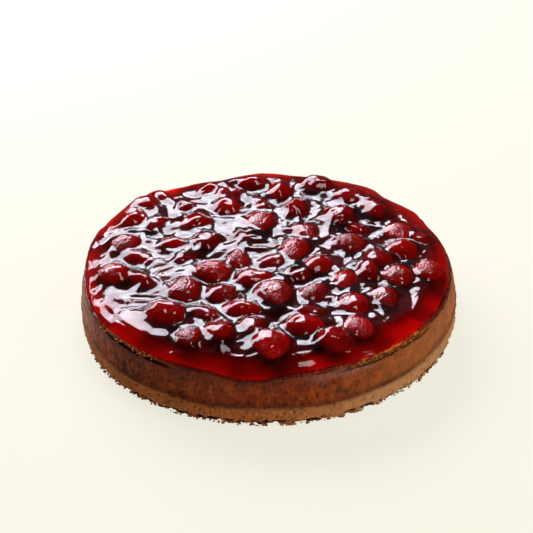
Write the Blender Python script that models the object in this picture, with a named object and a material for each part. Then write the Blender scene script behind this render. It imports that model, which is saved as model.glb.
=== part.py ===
"""Strawberry cheesecake: a whole round baked cheesecake under set red jelly with strawberries.

From the bottom up it is a shortcrust base, the baked cheesecake, the jelly and the berries in it.
The cake stands on z = 0 round the Z axis, with its front at -Y. Lengths are metres unless a name says mm.
"""

import math
import random

import bmesh
import bpy
from mathutils import Euler, Vector

MM = 0.001

# Driving dimensions: a cake from a 260 mm ring tin, with the jelly set on top inside a paper collar
CAKE_RADIUS = 130.0 * MM
BASE_HEIGHT = 14.0 * MM
RIM_HEIGHT = 37.0 * MM
BED_HEIGHT = 35.0 * MM
JELLY_LEVEL = 42.8 * MM
LAYER_GAP = 0.3 * MM

# The jelly's top is rings of eight points, sixteen and so on, so the outline has eight for each ring
TOP_RINGS = 9
SEGMENTS = 8 * TOP_RINGS

# The bed under the fruit is dished: level as far as the first radius, at rim height from the second
BED_LEVEL_RADIUS = 104.0 * MM
BED_RIM_RADIUS = 115.0 * MM

# The cake isn't truly round. Each station is degrees round the cake from +X and a radius in mm:
# the side is pressed in on the left, and the jelly has set with lobes and bays in its rim
SIDE_STATIONS = (
    (0, 130.0), (60, 129.6), (120, 128.6), (180, 127.4), (225, 129.2), (270, 130.0), (315, 130.2),
)
JELLY_STATIONS = (
    (0, 122.8), (22, 121.6), (28, 123.4), (41, 120.0), (52, 124.6), (78, 119.0), (92, 123.0), (109, 116.6),
    (134, 125.0), (162, 125.2), (185, 121.6), (212, 124.6), (245, 126.0), (265, 127.4), (290, 126.0),
    (330, 124.8),
)

# Finer unevenness, as the largest departure from the even form
SIDE_WANDER = 0.5 * MM
SEAM_WANDER = 1.3 * MM
JELLY_SWELL = 0.5 * MM

# Where the browned side has split from its top edge, from and to in degrees round the cake
SPLITS_DEG = ((-147.0, -120.0), (-70.0, -38.0))
SPLIT_DEPTH = 2.2 * MM
SPLIT_LIP = 0.7 * MM
SPLIT_FADE_DEG = 6.0

# Where jelly has run down over a low place in the rim at the front
RUN_ANGLE_DEG = -95.0
RUN_HALF_WIDTH_DEG = 7.0
RUN_FADE_DEG = 5.6
RUN_DROP = 3.4 * MM

# Places up the side, where the browned crust is widest, starts to draw in, and has its split and its top lip
BELLY_HEIGHT = 26.0 * MM
SHOULDER_HEIGHT = 32.4 * MM
SPLIT_HEIGHT = 34.0 * MM
LIP_HEIGHT = 35.4 * MM
SEAM_INSET = 2.4 * MM

# The four shapes of berry: width and thickness as shares of the length, how much it narrows to the tip,
# and how far the tip is raised in degrees
BERRY_SHAPES = {
    "plump": {"width": 0.88, "thickness": 0.60, "taper": 0.30, "raised": 6.0},
    "heart": {"width": 0.84, "thickness": 0.56, "taper": 0.62, "raised": 8.0},
    "slender": {"width": 0.66, "thickness": 0.54, "taper": 0.40, "raised": 4.0},
    "upright": {"width": 0.86, "thickness": 0.66, "taper": 0.50, "raised": 28.0},
}

# The berries as they lie on the cake. Each is its place from the middle in X and Y and its length, in mm,
# and then the way its tip points, in degrees round from +X
BERRIES = {
    "plump": (
        (-94, 45, 22, -130), (-87, 66, 20, -60), (-27, 80, 19, 90), (-27, 59, 21, 100), (38, 91, 24, -40),
        (62, 71, 22, -60), (10, 81, 19, -90), (57, 9, 22, 150), (92, -2, 21, 180), (-97, 11, 23, -110),
        (-101, -26, 23, -60), (-36, -25, 24, 170), (-29, -51, 20, 20), (34, -18, 20, -120), (86, -34, 22, -90),
        (107, -29, 21, -100), (-63, -74, 24, -30), (56, -91, 21, -60), (40, -105, 20, -70), (52, 44, 23, -90),
        (-42, 15, 19, 160), (75, -13, 19, -10),
    ),
    "heart": (
        (-4, 37, 27, -95), (-53, -45, 27, 85), (5, -54, 30, -80), (2, -109, 28, -90), (93, 21, 24, -80),
        (55, -67, 24, -80), (28, 24, 22, -70), (-50, 40, 23, -140), (75, -59, 23, -70), (51, -37, 21, -100),
    ),
    "slender": (
        (-76, 80, 18, 130), (-10, 96, 22, 180), (-57, 62, 16, -30), (-77, 40, 19, 60), (-3, 63, 18, -80),
        (77, 53, 24, -70), (22, 58, 22, 80), (-63, 11, 19, -30), (-86, -6, 21, -15), (-56, -6, 15, 30),
        (19, 0, 27, -100), (4, -12, 18, 200), (-83, -32, 18, -40), (-8, -34, 24, 0), (30, -51, 23, 50),
        (-38, -73, 17, -30), (-16, -69, 24, -10), (26, -74, 19, 180), (23, -88, 25, 0), (63, 29, 16, -20),
    ),
    "upright": (
        (-19, -11, 19, 90), (67, -27, 17, 80), (-48, -99, 19, -90), (-30, -94, 20, -80), (-10, -88, 19, -80),
    ),
}
BERRY_LIFT = 2.0 * MM
BERRY_SIDES = 8
BERRY_BANDS = 6
BERRY_SHOULDER = 1.20
BERRY_LUMPS = 0.05
BERRY_RAISED_SPREAD = 4.0

FRUIT_RED = (0.30, 0.004, 0.006, 1.0)
JELLY_RED = (0.22, 0.002, 0.006, 1.0)
BAKED_BROWN = (0.145, 0.055, 0.022, 1.0)
SHORTCRUST = (0.40, 0.19, 0.085, 1.0)


def smooth_step(value, low, high):
    """0 below low, 1 above high, and an even S between them."""
    share = min(max((value - low) / (high - low), 0.0), 1.0)
    return share * share * (3.0 - 2.0 * share)


def wander(angle, seed, turns=(3, 5, 8, 13)):
    """An uneven line round the cake, from -1 to 1, that closes on itself."""
    phases = random.Random(seed)
    total = 0.0
    for turn in turns:
        total += math.sin(turn * angle + phases.uniform(0.0, math.tau))
    return total / len(turns)


def window(angle, start_deg, end_deg, fade_deg):
    """1 between two angles and 0 outside them, with soft ends."""
    degrees = math.degrees(math.atan2(math.sin(angle), math.cos(angle)))
    rise = smooth_step(degrees, start_deg - fade_deg, start_deg + fade_deg)
    fall = smooth_step(degrees, end_deg - fade_deg, end_deg + fade_deg)
    return rise * (1.0 - fall)


def split(angle):
    """How open the split under the top edge is, from 0 to 1."""
    return max(window(angle, start, end, SPLIT_FADE_DEG) for start, end in SPLITS_DEG)


def run_over(angle):
    """How far the jelly has run over the rim, from 0 to 1."""
    return window(angle, RUN_ANGLE_DEG - RUN_HALF_WIDTH_DEG, RUN_ANGLE_DEG + RUN_HALF_WIDTH_DEG, RUN_FADE_DEG)


def bed_height(radius, angle):
    """The cheesecake's top surface, on which fruit and jelly lie."""
    dished = smooth_step(radius, BED_LEVEL_RADIUS, BED_RIM_RADIUS) * (RIM_HEIGHT - BED_HEIGHT)
    sunk_rim = smooth_step(radius, BED_RIM_RADIUS - 6.0 * MM, CAKE_RADIUS - 3.0 * MM) * RUN_DROP
    return BED_HEIGHT + dished - sunk_rim * run_over(angle)


def seam_height(angle):
    """The uneven line round the side where the base meets the cheesecake."""
    return BASE_HEIGHT + SEAM_WANDER * wander(angle, "seam")


def around(angle, stations):
    """The radius that a list of stations gives at an angle, easing from each station to the next."""
    degrees = math.degrees(angle) % 360.0
    closed = stations + ((stations[0][0] + 360.0, stations[0][1]),)
    for (start, near), (end, far) in zip(closed, closed[1:]):
        if degrees <= end:
            return (near + (far - near) * smooth_step(degrees, start, end)) * MM
    return closed[-1][1] * MM


def side_radius(angle):
    """The radius of the cake's side at its widest."""
    return around(angle, SIDE_STATIONS) + SIDE_WANDER * wander(angle, "foot", (5, 7, 11))


def jelly_rim(angle):
    """The radius of the jelly's rim at its widest."""
    return around(angle, JELLY_STATIONS)


def shoulder_radius(angle, share):
    """The side drawing in to the jelly's rim: share 0 is its full width and 1 is the top edge."""
    top_edge = jelly_rim(angle) + 1.0 * MM
    return side_radius(angle) * (1.0 - share) + top_edge * share


def jelly_surface(radius, angle):
    """The jelly's top between the berries, a little higher and lower from place to place."""
    x = radius * math.cos(angle)
    y = radius * math.sin(angle)
    swell = math.sin(x / (17.0 * MM) + 0.6) * math.sin(y / (21.0 * MM) + 1.9)
    return JELLY_LEVEL + JELLY_SWELL * swell


def plain_material(name, colour, roughness):
    """A Principled material of one colour."""
    material = bpy.data.materials.new(name)
    material.use_nodes = True
    shader = material.node_tree.nodes["Principled BSDF"]
    shader.inputs["Base Color"].default_value = colour
    shader.inputs["Roughness"].default_value = roughness
    return material


def add_object(name, mesh_data, collection, material=None):
    """Turns an edited mesh into an object in a collection."""
    mesh_data.normal_update()
    bmesh.ops.recalc_face_normals(mesh_data, faces=mesh_data.faces)
    mesh = bpy.data.meshes.new(name)
    mesh_data.to_mesh(mesh)
    mesh_data.free()
    mesh.shade_smooth()
    mesh.set_sharp_from_angle(angle=math.radians(35.0))
    if material:
        mesh.materials.append(material)
    solid = bpy.data.objects.new(name, mesh)
    collection.objects.link(solid)
    return solid


def flat_round(mesh_data, radius, height):
    """A round flat face to start from. Returns its edge."""
    made = bmesh.ops.create_circle(mesh_data, cap_ends=True, segments=SEGMENTS, radius=radius)
    for vertex in made["verts"]:
        vertex.co.z = height
    return [edge for edge in mesh_data.edges if edge.is_boundary]


def ringed_round(mesh_data, rings, point_at):
    """A round face of even quads, a grid whose square rings are bent to circles. Returns its edge."""
    made = bmesh.ops.create_grid(mesh_data, x_segments=2 * rings, y_segments=2 * rings, size=rings)
    for vertex in made["verts"]:
        x, y = round(vertex.co.x), round(vertex.co.y)
        ring = max(abs(x), abs(y))
        if ring == 0:
            steps = 0.0
        elif x == ring and abs(y) < ring:
            steps = y
        elif y == ring:
            steps = 2 * ring - x
        elif x == -ring:
            steps = 4 * ring - y
        elif y == -ring:
            steps = 6 * ring + x
        else:
            steps = y
        angle = math.tau * steps / (8 * ring) if ring else 0.0
        vertex.co = point_at(ring / rings, angle)
    return [edge for edge in mesh_data.edges if edge.is_boundary]


def extrude_walls(mesh_data, rim_edges, rows):
    """Carries an edge on through rows, each a radius and a height for every angle, and closes the last."""
    for row in rows:
        made = bmesh.ops.extrude_edge_only(mesh_data, edges=rim_edges)["geom"]
        rim_edges = [piece for piece in made if isinstance(piece, bmesh.types.BMEdge) and piece.is_boundary]
        for vertex in {vertex for edge in rim_edges for vertex in edge.verts}:
            angle = math.atan2(vertex.co.y, vertex.co.x)
            radius, height = row(angle)
            vertex.co = (radius * math.cos(angle), radius * math.sin(angle), height)
    bmesh.ops.contextual_create(mesh_data, geom=rim_edges)


def build_base(collection):
    """The shortcrust base: a pale disc with crumbled lower edges, bulging a little between them."""
    mesh_data = bmesh.new()
    rim = flat_round(mesh_data, CAKE_RADIUS - 5.0 * MM, 0.0)

    def foot_row(angle):
        crumbled = abs(wander(angle, "crumbs", (9, 17, 29)))
        return side_radius(angle) - (0.4 + 1.2 * crumbled) * MM, (1.0 + 0.9 * crumbled) * MM

    rows = (
        foot_row,
        lambda angle: (side_radius(angle), 5.0 * MM),
        lambda angle: (side_radius(angle) - 0.5 * MM, seam_height(angle) - 3.0 * MM),
        lambda angle: (side_radius(angle) - SEAM_INSET, seam_height(angle)),
        lambda angle: (CAKE_RADIUS - 14.0 * MM, BASE_HEIGHT),
    )
    extrude_walls(mesh_data, rim, rows)
    add_object("shortcrust_base", mesh_data, collection, plain_material("shortcrust", SHORTCRUST, 0.85))


def build_cheesecake(collection):
    """The cheesecake: a browned side, split in two places under its top edge, and a dished bed."""
    mesh_data = bmesh.new()
    rim = flat_round(mesh_data, CAKE_RADIUS - 14.0 * MM, BASE_HEIGHT + LAYER_GAP)

    def side_row(share, inset, height):
        """A row part of the way from the widest place to the top edge. It dips where jelly has run over."""
        def row(angle):
            sag = RUN_DROP * run_over(angle) * smooth_step(height, seam_height(angle), RIM_HEIGHT)
            return shoulder_radius(angle, share) - inset(angle), height - sag
        return row

    def top_row(inset):
        return lambda angle: (jelly_rim(angle) - inset, bed_height(jelly_rim(angle) - inset, angle))

    rows = (
        lambda angle: (side_radius(angle) - SEAM_INSET, seam_height(angle) + LAYER_GAP),
        lambda angle: (side_radius(angle) - 1.1 * MM, seam_height(angle) + 3.5 * MM),
        side_row(0.12, lambda angle: 1.2 * MM, BELLY_HEIGHT),
        side_row(0.48, lambda angle: 0.6 * MM, SHOULDER_HEIGHT),
        side_row(0.62, lambda angle: 0.4 * MM + SPLIT_DEPTH * split(angle), SPLIT_HEIGHT),
        side_row(0.85, lambda angle: -SPLIT_LIP * split(angle), LIP_HEIGHT),
        top_row(0.0),
        top_row(5.0 * MM),
        lambda angle: (BED_LEVEL_RADIUS, BED_HEIGHT),
    )
    extrude_walls(mesh_data, rim, rows)
    browned = plain_material("browned cheesecake", BAKED_BROWN, 0.7)
    add_object("baked_cheesecake", mesh_data, collection, browned)


def build_jelly(collection):
    """The jelly before the berries are pressed in: a slab with a rounded rim, run over at the front."""
    mesh_data = bmesh.new()
    top_middle = CAKE_RADIUS - 12.0 * MM
    top_inset = 6.0 * MM

    def top_point(share, angle):
        radius = share * (top_middle + (jelly_rim(angle) - top_inset - top_middle) * share ** 3)
        return Vector((radius * math.cos(angle), radius * math.sin(angle), jelly_surface(radius, angle)))

    def rim_row(inset, drop):
        def row(angle):
            sag = RUN_DROP * run_over(angle) * smooth_step(drop, 0.0, 4.0 * MM)
            return jelly_rim(angle) - inset, JELLY_LEVEL - drop - sag
        return row

    def under_row(inset):
        def row(angle):
            radius = jelly_rim(angle) - inset
            return radius, bed_height(radius, angle) + LAYER_GAP
        return row

    rim = ringed_round(mesh_data, TOP_RINGS, top_point)
    rows = (
        rim_row(2.4 * MM, 1.0 * MM),
        rim_row(0.3 * MM, 2.8 * MM),
        rim_row(0.0, 4.4 * MM),
        under_row(1.6 * MM),
        under_row(5.0 * MM),
        lambda angle: (BED_LEVEL_RADIUS, BED_HEIGHT + LAYER_GAP),
    )
    extrude_walls(mesh_data, rim, rows)
    return add_object("strawberry_jelly", mesh_data, collection, plain_material("red jelly", JELLY_RED, 0.08))


def berry_mesh(length, shape, draw, grow=0.0):
    """One strawberry with its tip at +X: round, narrowing to the tip, flattened and a little lumpy."""
    mesh_data = bmesh.new()
    bmesh.ops.create_uvsphere(mesh_data, u_segments=BERRY_SIDES, v_segments=BERRY_BANDS, radius=1.0)
    half_length = length / 2.0 + grow
    half_width = shape["width"] * length / 2.0 + grow
    half_thickness = shape["thickness"] * length / 2.0 + grow
    for vertex in mesh_data.verts:
        across, up, along = vertex.co
        towards_tip = (1.0 + along) / 2.0
        fullness = BERRY_SHOULDER - shape["taper"] * towards_tip
        fullness *= 1.0 + BERRY_LUMPS * math.sin(3.0 * across + draw) * math.cos(2.0 * up + 5.0 * draw)
        vertex.co = (along * half_length, across * fullness * half_width, up * fullness * half_thickness)
    return mesh_data


def lay_berry(berry, x, y, heading, raised):
    """Turns a berry the way its tip points and sets it down just above the bed."""
    berry.rotation_euler = Euler((0.0, -math.radians(raised), math.radians(heading)))
    turn = berry.rotation_euler.to_matrix()
    lift = 0.0
    for vertex in berry.data.vertices:
        place = turn @ vertex.co
        radius = math.hypot(x + place.x, y + place.y)
        angle = math.atan2(y + place.y, x + place.x)
        lift = max(lift, bed_height(radius, angle) + BERRY_LIFT - place.z)
    berry.location = (x, y, lift)


def build_berries(collection, cutters):
    """Every strawberry, each with a slightly larger twin that presses its socket in the jelly."""
    fruit = plain_material("strawberry", FRUIT_RED, 0.25)
    draws = random.Random("berries")
    number = 0
    for shape_name, places in BERRIES.items():
        shape = BERRY_SHAPES[shape_name]
        for x_mm, y_mm, length_mm, heading in places:
            number += 1
            draw = draws.uniform(0.0, math.tau)
            raised = shape["raised"] + draws.uniform(-BERRY_RAISED_SPREAD, BERRY_RAISED_SPREAD)
            name = f"strawberry_{number:02d}"
            length = length_mm * MM
            berry = add_object(name, berry_mesh(length, shape, draw), collection, fruit)
            lay_berry(berry, x_mm * MM, y_mm * MM, heading, raised)
            socket = add_object(name + "_socket", berry_mesh(length, shape, draw, LAYER_GAP), cutters)
            socket.location = berry.location
            socket.rotation_euler = berry.rotation_euler
            socket.hide_render = True
            socket.display_type = "WIRE"


def build_cake():
    """The whole cake, layer by layer."""
    for left_over in list(bpy.data.objects):
        bpy.data.objects.remove(left_over)
    cake = bpy.data.collections.new("strawberry_cheesecake")
    cutters = bpy.data.collections.new("berry_sockets")
    bpy.context.scene.collection.children.link(cake)
    bpy.context.scene.collection.children.link(cutters)

    build_base(cake)
    build_cheesecake(cake)
    jelly = build_jelly(cake)
    build_berries(cake, cutters)

    sockets = jelly.modifiers.new("berry sockets", "BOOLEAN")
    sockets.operation = "DIFFERENCE"
    sockets.solver = "EXACT"
    sockets.operand_type = "COLLECTION"
    sockets.collection = cutters


build_cake()
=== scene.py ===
"""Strawberry cheesecake: a whole round baked cheesecake under set red jelly with strawberries.

The file follows the cake as it is made: the floor and light it is seen in, the shortcrust base, the baked
cheesecake, its crumbs, the strawberries and last the jelly poured over them. Lengths are metres and angles
radians, unless a name says otherwise. Angles round the cake start at its right and run by its back.
"""

import math
import random

import bmesh
import bpy
import numpy as np
from mathutils import Matrix, Vector, kdtree, noise


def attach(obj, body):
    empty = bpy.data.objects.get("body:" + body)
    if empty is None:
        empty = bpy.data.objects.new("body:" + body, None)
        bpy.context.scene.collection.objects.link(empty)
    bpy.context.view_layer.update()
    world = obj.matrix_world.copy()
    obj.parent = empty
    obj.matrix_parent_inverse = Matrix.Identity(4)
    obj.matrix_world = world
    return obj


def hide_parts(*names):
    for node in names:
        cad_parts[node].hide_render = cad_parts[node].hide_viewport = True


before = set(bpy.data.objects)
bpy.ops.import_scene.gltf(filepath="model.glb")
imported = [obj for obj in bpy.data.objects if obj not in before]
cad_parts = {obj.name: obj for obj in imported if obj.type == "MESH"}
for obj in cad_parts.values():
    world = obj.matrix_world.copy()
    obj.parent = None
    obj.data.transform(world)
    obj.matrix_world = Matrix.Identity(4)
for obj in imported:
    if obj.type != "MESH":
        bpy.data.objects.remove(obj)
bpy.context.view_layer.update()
MM = 0.001


# Camera
# The cake is seen from in front and a third of the way up to overhead, with a longish lens. The camera was
# held about a degree off level, and so is this one.
CAMERA_TILT = 0.566489974
CAMERA_ROLL = -0.0185185
CAMERA_DISTANCE = 883.7 * MM
LENS_MM = 81.05
SENSOR_MM = 36.0
AIM = Vector((0.17 * MM, 52.08 * MM, 0.0))

camera_data = bpy.data.cameras.new("camera")
camera_data.sensor_width = SENSOR_MM
camera_data.lens = LENS_MM
camera = bpy.data.objects.new("camera", camera_data)
away = Vector((0.0, -math.cos(CAMERA_TILT), math.sin(CAMERA_TILT)))
facing = Matrix.Rotation(math.pi / 2.0 - CAMERA_TILT, 4, "X") @ Matrix.Rotation(CAMERA_ROLL, 4, "Z")
camera.matrix_world = Matrix.Translation(AIM + away * CAMERA_DISTANCE) @ facing
bpy.context.scene.collection.objects.link(camera)
bpy.context.scene.camera = camera


# Floor
# A wide sheet of matt cream paper that runs back past the picture's top edge. It glows a little, as paper
# lit from all round does, so the cake's shadow on it stays soft and pale. The jelly doesn't mirror it.
def paint(hex_colour):
    """A colour written as sRGB hex, turned to the linear values that a shader takes."""
    shares = [int(hex_colour[i:i + 2], 16) / 255.0 for i in (0, 2, 4)]
    return [s / 12.92 if s <= 0.04045 else ((s + 0.055) / 1.055) ** 2.4 for s in shares] + [1.0]


def add_node(tree, kind, settings=None, links=None):
    """Adds one node, sets its properties and sockets, and joins its inputs to other nodes' outputs.
    Sockets that share a name, or have none of their own, go by number."""
    node = tree.nodes.new(kind)
    for name, value in (settings or {}).items():
        if isinstance(name, str) and hasattr(node, name):
            setattr(node, name, value)
        else:
            node.inputs[name].default_value = value
    for name, source in (links or {}).items():
        tree.links.new(source, node.inputs[name])
    return node


def start_material(name, **settings):
    """A material with its surface shader, and the settings that are the same all over."""
    material = bpy.data.materials.new(name)
    material.use_nodes = True
    shader = material.node_tree.nodes["Principled BSDF"]
    for socket, value in settings.items():
        shader.inputs[socket.replace("_", " ").title().replace("Ior", "IOR")].default_value = value
    return material, material.node_tree, shader


FLOOR_SIZE = 14.0
floor_mesh = bpy.data.meshes.new("floor")
floor_mesh.from_pydata(
    [(x * FLOOR_SIZE / 2, y * FLOOR_SIZE / 2, 0.0) for x, y in ((-1, -1), (1, -1), (1, 1), (-1, 1))],
    [], [(0, 1, 2, 3)])
floor = bpy.data.objects.new("floor", floor_mesh)
bpy.context.scene.collection.objects.link(floor)

# Matt paper: no gloss to see, and a faint mottle far coarser than its grain
paper, tree, shader = start_material("matt_paper", roughness=0.95)
shader.inputs["Specular IOR Level"].default_value = 0.1
mottle = add_node(tree, "ShaderNodeTexNoise", {"Scale": 1.0 / (400 * MM), "Detail": 1.0})
paper_colour = add_node(tree, "ShaderNodeMix", {"data_type": "RGBA", 6: paint("67635A"), 7: paint("6C685E")},
                        {0: mottle.outputs["Fac"]})
tree.links.new(paper_colour.outputs[2], shader.inputs["Base Color"])
shader.inputs["Emission Color"].default_value = paint("FDFBEE")
shader.inputs["Emission Strength"].default_value = 0.78
floor_mesh.materials.append(paper)
floor.visible_glossy = False


# Light
# A big window-like softbox behind the cake and to the left mirrors white in the jelly, with a faintly lit
# wall round it. Small ones at the far left, the right front and overhead add glints. A wide one at the right
# front lights the side and has no glint. The room is nearly dark, so the jelly stays deep.
def soft_light(name, azimuth_deg, elevation_deg, distance, size, radiance, hex_colour, mirrored=True):
    """A flat softbox that faces the cake. Radiance is its brightness, where 1 is the picture's white."""
    data = bpy.data.lights.new(name, "AREA")
    data.shape = "RECTANGLE"
    data.size, data.size_y = size
    data.energy = radiance * math.pi * size[0] * size[1]
    data.color = paint(hex_colour)[:3]
    azimuth, elevation = math.radians(azimuth_deg), math.radians(elevation_deg)
    towards = Vector((math.sin(azimuth) * math.cos(elevation), math.cos(azimuth) * math.cos(elevation),
                      math.sin(elevation)))
    light = bpy.data.objects.new(name, data)
    light.location = towards * distance
    light.rotation_euler = towards.to_track_quat("Z", "Y").to_euler()
    light.visible_glossy = mirrored
    bpy.context.scene.collection.objects.link(light)


soft_light("window_softbox", -24.0, 36.5, 1.25, (1.3, 0.59), 14.5, "F6F2FE")
soft_light("lit_wall", -20.0, 42.0, 2.2, (3.4, 2.2), 0.15, "F0E8FF")
soft_light("left_softbox", -52.0, 14.0, 1.4, (0.6, 0.35), 7.0, "F6F3FF")
soft_light("side_softbox", 128.0, 24.0, 1.4, (0.4, 0.3), 6.0, "FFFBF4")
soft_light("top_softbox", 60.0, 78.0, 1.3, (0.35, 0.25), 8.0, "FFFFFF")
soft_light("front_softbox", 124.0, 38.0, 1.6, (1.4, 1.0), 3.0, "FFFBF4", mirrored=False)

room = bpy.data.worlds.new("room")
room.use_nodes = True
room.node_tree.nodes["Background"].inputs["Color"].default_value = paint("FFF8EE")
room.node_tree.nodes["Background"].inputs["Strength"].default_value = 0.04
bpy.context.scene.world = room
bpy.context.scene.view_settings.view_transform = "Standard"


# Shortcrust base
# A pale baked disc of pressed shortcrust crumbs that bulges a little under the cake's weight. It was cut
# free of the tin with a knife, so its foot is broken up into crumbs, with painted shade in the gaps between
# them.
BASE_HEIGHT = 14.0 * MM
SEAM_WANDER = 1.3 * MM
SIDE_WANDER = 0.5 * MM
SEAM_INSET = 1.8 * MM
KNIFE_CUT_DEG = (-128.0, -62.0)
# The side's radius in mm at angles in degrees round the cake
SIDE_STATIONS = (
    (0, 130.0), (60, 129.6), (120, 128.6), (180, 127.4), (225, 129.2), (270, 130.0), (315, 130.2),
)
COLUMNS = 1080
round_cake = np.linspace(0.0, math.tau, COLUMNS, endpoint=False)


def smooth_step(value, low, high):
    """0 below low, 1 above high, and an even S between them."""
    share = np.clip((value - low) / (high - low), 0.0, 1.0)
    return share * share * (3.0 - 2.0 * share)


def wander(angle, seed, turns=(3, 5, 8, 13)):
    """An uneven line round the cake, from -1 to 1, that closes on itself."""
    phases = random.Random(seed)
    return sum(np.sin(turn * angle + phases.uniform(0.0, math.tau)) for turn in turns) / len(turns)


def around(angle, stations):
    """The radius that a list of stations gives at each angle, easing from each station to the next."""
    degrees = np.degrees(angle) % 360.0
    closed = stations + ((stations[0][0] + 360.0, stations[0][1]),)
    radius = np.full(np.shape(degrees), float(stations[0][1]))
    for (start, near), (end, far) in zip(closed, closed[1:]):
        radius += (far - near) * smooth_step(degrees, start, end)
    return radius * MM


def window(angle, start_deg, end_deg, fade_deg):
    """1 between two angles and 0 outside them, with soft ends."""
    degrees = np.degrees(np.arctan2(np.sin(angle), np.cos(angle)))
    rise = smooth_step(degrees, start_deg - fade_deg, start_deg + fade_deg)
    return rise * (1.0 - smooth_step(degrees, end_deg - fade_deg, end_deg + fade_deg))


def side_radius(angle):
    """The radius of the cake's side at its widest."""
    return around(angle, SIDE_STATIONS) + SIDE_WANDER * wander(angle, "foot", (5, 7, 11))


def seam_height(angle):
    """The uneven line round the side where the base meets the cheesecake."""
    return BASE_HEIGHT + SEAM_WANDER * wander(angle, "seam")


def unevenness(points, grain, seed, octaves=3, stretch=1.0):
    """Natural roughness from about -1 to 1 at each point, in lumps of one grain size, drawn out upwards."""
    draw = random.Random(seed)
    shift = Vector([draw.uniform(-50.0, 50.0) for _ in range(3)])
    scaled = np.asarray(points) / np.array((grain, grain, grain * stretch))
    rough = [noise.fractal(Vector(p) + shift, 1.0, 2.0, octaves) for p in scaled.reshape(-1, 3)]
    return np.array(rough).reshape(scaled.shape[:-1])


def pits(points, spacing, size, kept, seed, stretch=1.0):
    """1 in the middle of scattered pits and 0 between them. The more is kept, the more places have one."""
    draw = random.Random(seed)
    shift = Vector([draw.uniform(-50.0, 50.0) for _ in range(3)])
    scaled = np.asarray(points) / np.array((spacing, spacing, spacing * stretch))
    depth = np.zeros(scaled.size // 3)
    for i, p in enumerate(scaled.reshape(-1, 3)):
        distances, centres = noise.voronoi(Vector(p) + shift)
        chance = noise.cell(centres[0] * 7.3) * 0.5 + 0.5
        if chance < kept:
            depth[i] = max(0.0, 1.0 - (distances[0] / (size / spacing)) ** 2)
    return depth.reshape(scaled.shape[:-1])


def smooth_rows(rows, steps):
    """Rows of radii and heights round the cake, with more rows put smoothly between each two."""
    rows = np.array([(radius + 0.0 * round_cake, height + 0.0 * round_cake) for radius, height in rows])
    padded = np.concatenate([rows[:1], rows, rows[-1:]])
    made = []
    for i, count in enumerate(steps):
        before, start, end, after = padded[i:i + 4]
        for t in np.arange(count) / count:
            bend = 2 * before - 5 * start + 4 * end - after
            twist = 3 * start - before - 3 * end + after
            made.append(0.5 * (2 * start + (end - before) * t + bend * t ** 2 + twist * t ** 3))
    made.append(rows[-1])
    made = np.array(made)
    return made[:, 0], made[:, 1]


def round_points(radius, height, angle):
    """Rows and columns of radii and heights as points in space."""
    return np.stack(np.broadcast_arrays(radius * np.cos(angle), radius * np.sin(angle), height), axis=-1)


def round_solid(name, points, material, colours=None, wetness=None):
    """A closed solid from rows of points round the cake, with a flat face at its foot and on its top."""
    rows, columns = points.shape[:2]
    index = np.arange(rows * columns).reshape(rows, columns)
    beside = np.roll(index, -1, axis=1)
    quads = np.stack([index[:-1], beside[:-1], beside[1:], index[1:]], axis=-1).reshape(-1, 4)
    faces = quads.tolist() + [index[0, ::-1].tolist(), index[-1].tolist()]
    return finished_piece(name, points.reshape(-1, 3), faces, material, colours, wetness, flat_faces=2)


def finished_piece(name, points, faces, material, colours=None, wetness=None, flat_faces=0):
    """A smooth object, with its last few faces flat where asked, which rides on the cake's one body."""
    mesh = bpy.data.meshes.new(name)
    mesh.from_pydata(points.tolist(), [], faces)
    mesh.shade_smooth()
    for polygon in mesh.polygons[len(faces) - flat_faces:]:
        polygon.use_smooth = False
    if colours is not None:
        attribute = mesh.color_attributes.new("bake", "FLOAT_COLOR", "POINT")
        rgba = np.concatenate([colours.reshape(-1, 3), np.ones((len(points), 1))], axis=1)
        attribute.data.foreach_set("color", rgba.astype(np.float32).ravel())
    if wetness is not None:
        attribute = mesh.attributes.new("wetness", "FLOAT", "POINT")
        attribute.data.foreach_set("value", wetness.astype(np.float32).ravel())
    mesh.materials.append(material)
    piece = bpy.data.objects.new(name, mesh)
    bpy.context.scene.collection.objects.link(piece)
    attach(piece, "root")
    return piece


def mixed(first, second, share):
    """Two colours mixed at each point by a share from 0 to 1."""
    share = np.clip(share, 0.0, 1.0)[..., None]
    return np.asarray(first)[..., :3] * (1.0 - share) + np.asarray(second)[..., :3] * share


def layered(colour, layers):
    """A colour with others laid over it in turn, each by its own share at each point."""
    for over, share in layers:
        colour = mixed(colour, over, share)
    return colour


def speckle_surface(tree, shader, grain, detail, contrast, bump_strength, bump_depth):
    """Gives a baked material the colours of its points, with a fine speckle in shade and in relief."""
    baked = add_node(tree, "ShaderNodeVertexColor", {"layer_name": "bake"})
    place = add_node(tree, "ShaderNodeTexCoord")
    speckle = add_node(tree, "ShaderNodeTexNoise", {"Scale": 1.0 / grain, "Detail": detail},
                       {"Vector": place.outputs["Object"]})
    shade = add_node(tree, "ShaderNodeMapRange", {3: 1.0 - contrast, 4: 1.0 + contrast},
                     {0: speckle.outputs["Fac"]})
    speckled = add_node(tree, "ShaderNodeVectorMath", {"operation": "SCALE"},
                        {0: baked.outputs["Color"], "Scale": shade.outputs[0]})
    tree.links.new(speckled.outputs[0], shader.inputs["Base Color"])
    bump = add_node(tree, "ShaderNodeBump", {"Strength": bump_strength, "Distance": bump_depth},
                    {"Height": speckle.outputs["Fac"]})
    tree.links.new(bump.outputs[0], shader.inputs["Normal"])


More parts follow.
